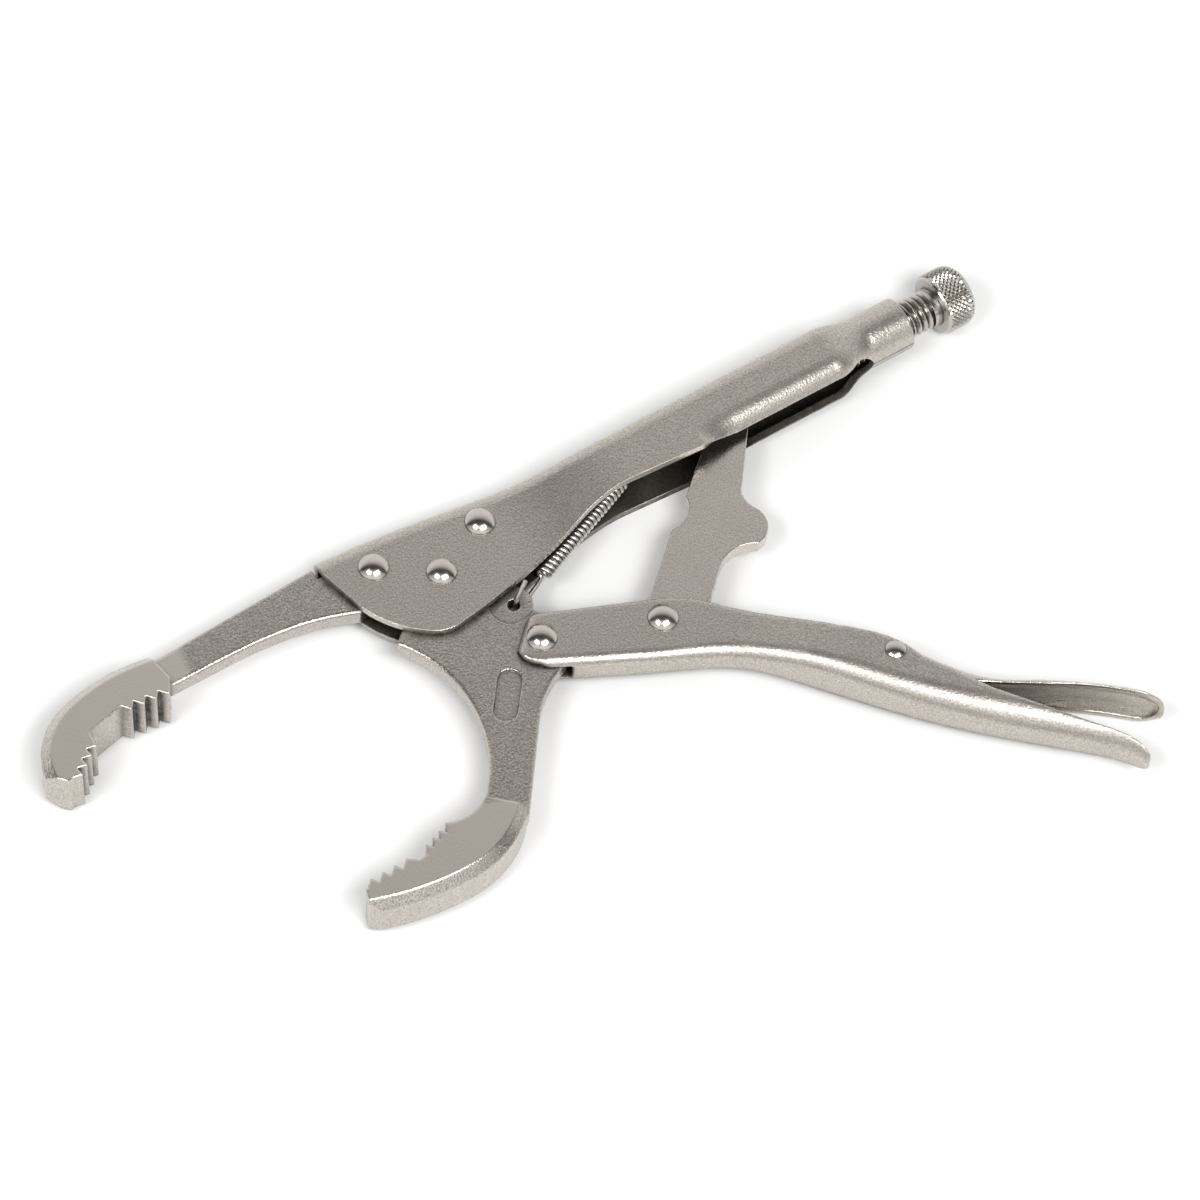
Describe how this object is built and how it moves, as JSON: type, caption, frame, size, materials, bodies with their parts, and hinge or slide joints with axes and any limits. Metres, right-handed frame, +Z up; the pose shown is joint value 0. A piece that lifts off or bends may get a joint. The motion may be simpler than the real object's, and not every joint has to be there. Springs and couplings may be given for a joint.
{
  "type": "locking pliers",
  "caption": "Locking pliers with wide toothed jaws for round canisters, a folded steel handle with an adjusting screw, a toggle link, a release lever and a tension spring",
  "frame": {"origin": "under the middle of the tool as it lies on its side, jaws open", "axes": "+X runs along the adjusting screw from the jaws to the knob, +Z is up through the thickness, +Y points from the moving handle to the fixed handle"},
  "size_m": [0.27, 0.1508, 0.0171],
  "materials": {
    "handle_steel": "satin nickel over a blasted folded sheet",
    "lever_steel": "satin nickel over folded sheet",
    "jaw_steel": "satin nickel over a blasted forging",
    "link_steel": "satin nickel over a blanked plate",
    "rivet_steel": "polished domed heads",
    "screw_steel": "bright plated, knurled knob",
    "spring_wire": "bright drawn wire"
  },
  "bodies": {
    "fixed_side": {"fixed_handle": "handle_steel", "fixed_jaw": "jaw_steel", "front_jaw_rivet": "rivet_steel", "rear_jaw_rivet": "rivet_steel", "jaw_pivot_rivet": "rivet_steel", "jaw_spring": "spring_wire"},
    "moving_jaw_body": {"moving_jaw": "jaw_steel"},
    "grip_body": {"moving_handle": "handle_steel", "handle_pivot_rivet": "rivet_steel", "link_pivot_rivet": "rivet_steel", "release_pivot_rivet": "rivet_steel"},
    "link_body": {"toggle_link": "link_steel"},
    "lever_body": {"release_lever": "lever_steel"},
    "screw_body": {"adjusting_screw": "screw_steel"}
  },
  "joints": [
    {"name": "jaw_pivot", "type": "hinge", "parent": "fixed_side", "child": "moving_jaw_body", "pos_m": [-0.02405, 0.05612, 0.00854], "axis": [0, 0, -1], "range_deg": [0, 20], "deforming": ["jaw_spring"]},
    {"name": "handle_pivot", "type": "hinge", "parent": "moving_jaw_body", "child": "grip_body", "pos_m": [-0.01325, 0.02762, 0.00854], "axis": [0, 0, 1], "range_deg": [0, 48.3]},
    {"name": "link_pivot", "type": "hinge", "parent": "grip_body", "child": "link_body", "pos_m": [0.01495, 0.01692, 0.00854], "axis": [0, 0, -1], "range_deg": [0, 41.5]},
    {"name": "release_pivot", "type": "hinge", "parent": "grip_body", "child": "lever_body", "pos_m": [0.05715, -0.02128, 0.00854], "axis": [0, 0, -1], "range_deg": [0, 6]},
    {"name": "screw_feed", "type": "slide", "parent": "fixed_side", "child": "screw_body", "axis": [1, 0, 0], "range_m": [0, 0.012]}
  ],
  "couplings": [
    {"joint": "handle_pivot", "follows": "jaw_pivot", "ratio": 2.414},
    {"joint": "link_pivot", "follows": "jaw_pivot", "ratio": 2.072}
  ]
}
